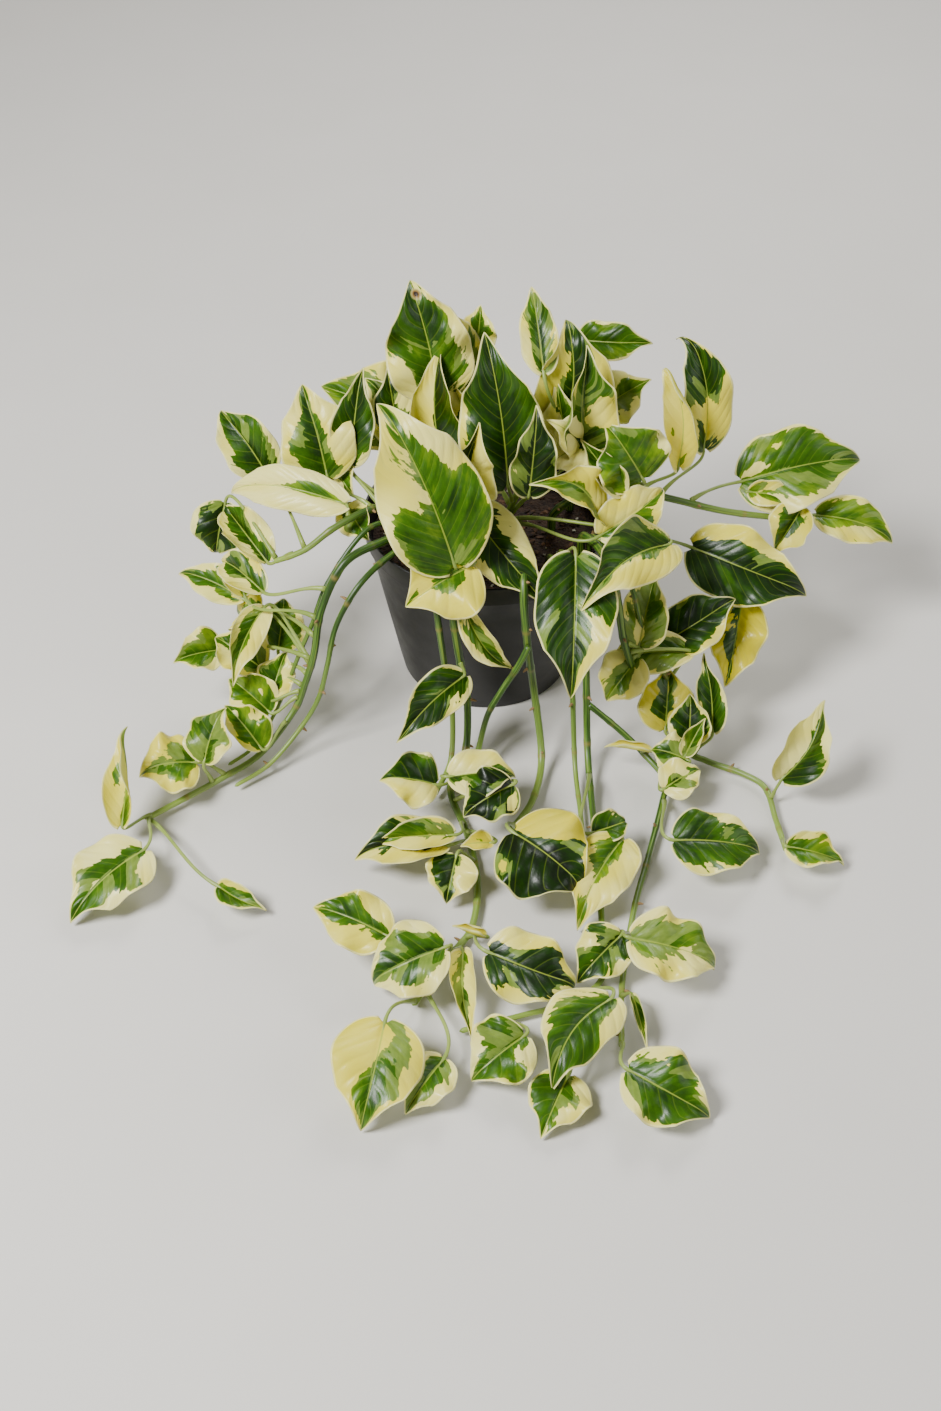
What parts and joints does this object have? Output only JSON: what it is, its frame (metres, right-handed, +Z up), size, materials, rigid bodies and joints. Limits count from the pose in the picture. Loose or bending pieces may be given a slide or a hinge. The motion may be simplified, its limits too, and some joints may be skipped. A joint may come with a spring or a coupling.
{
  "type": "potted pothos plant",
  "caption": "Trailing variegated pothos rooted in a round black nursery pot, its stems arching over the rim and lying along the surface.",
  "frame": {"origin": "centre of the pot's flat foot, on the surface it stands on", "axes": "+Z up, -Y towards the longest trailing stems, +X to the right seen from there"},
  "size_m": [0.492, 0.4509, 0.258],
  "materials": {
    "pot": "satin black polypropylene",
    "mix": "damp peat and bark",
    "stem": "smooth green skin",
    "leaf": "waxy, cream and green"
  },
  "bodies": {
    "root": {"nursery_pot": "pot", "potting_mix": "mix", "stem_left": "stem", "stem_left_high": "stem", "stem_front_left": "stem", "stem_front_middle": "stem", "stem_front_right": "stem", "stem_right": "stem", "stem_upper_right": "stem", "stem_crown_left": "stem", "stem_crown_middle": "stem", "stem_crown_right": "stem", "shoot_right": "stem", "crown_leaf_01": "leaf", "crown_leaf_02": "leaf", "crown_leaf_03": "leaf", "crown_leaf_04": "leaf", "crown_leaf_06": "leaf", "crown_leaf_07": "leaf", "crown_leaf_08": "leaf", "crown_leaf_09": "leaf", "crown_leaf_11": "leaf", "crown_leaf_12": "leaf", "crown_leaf_14": "leaf", "crown_leaf_15": "leaf", "left_leaf_01": "leaf", "left_leaf_03": "leaf", "left_leaf_04": "leaf", "left_leaf_05": "leaf", "left_leaf_06": "leaf", "left_leaf_08": "leaf", "left_leaf_09": "leaf", "left_leaf_13": "leaf", "left_leaf_14": "leaf", "left_leaf_15": "leaf", "front_leaf_01": "leaf", "front_leaf_02": "leaf", "front_leaf_03": "leaf", "front_leaf_04": "leaf", "front_leaf_05": "leaf", "front_leaf_06": "leaf", "front_leaf_07": "leaf", "front_leaf_09": "leaf", "front_leaf_10": "leaf", "front_leaf_11": "leaf", "front_leaf_12": "leaf", "front_leaf_13": "leaf", "front_leaf_14": "leaf", "front_leaf_15": "leaf", "front_leaf_16": "leaf", "right_leaf_01": "leaf", "right_leaf_02": "leaf", "right_leaf_03": "leaf", "right_leaf_04": "leaf", "right_leaf_05": "leaf", "right_leaf_06": "leaf", "right_leaf_07": "leaf", "right_leaf_08": "leaf", "right_leaf_09": "leaf"}
  },
  "joints": []
}
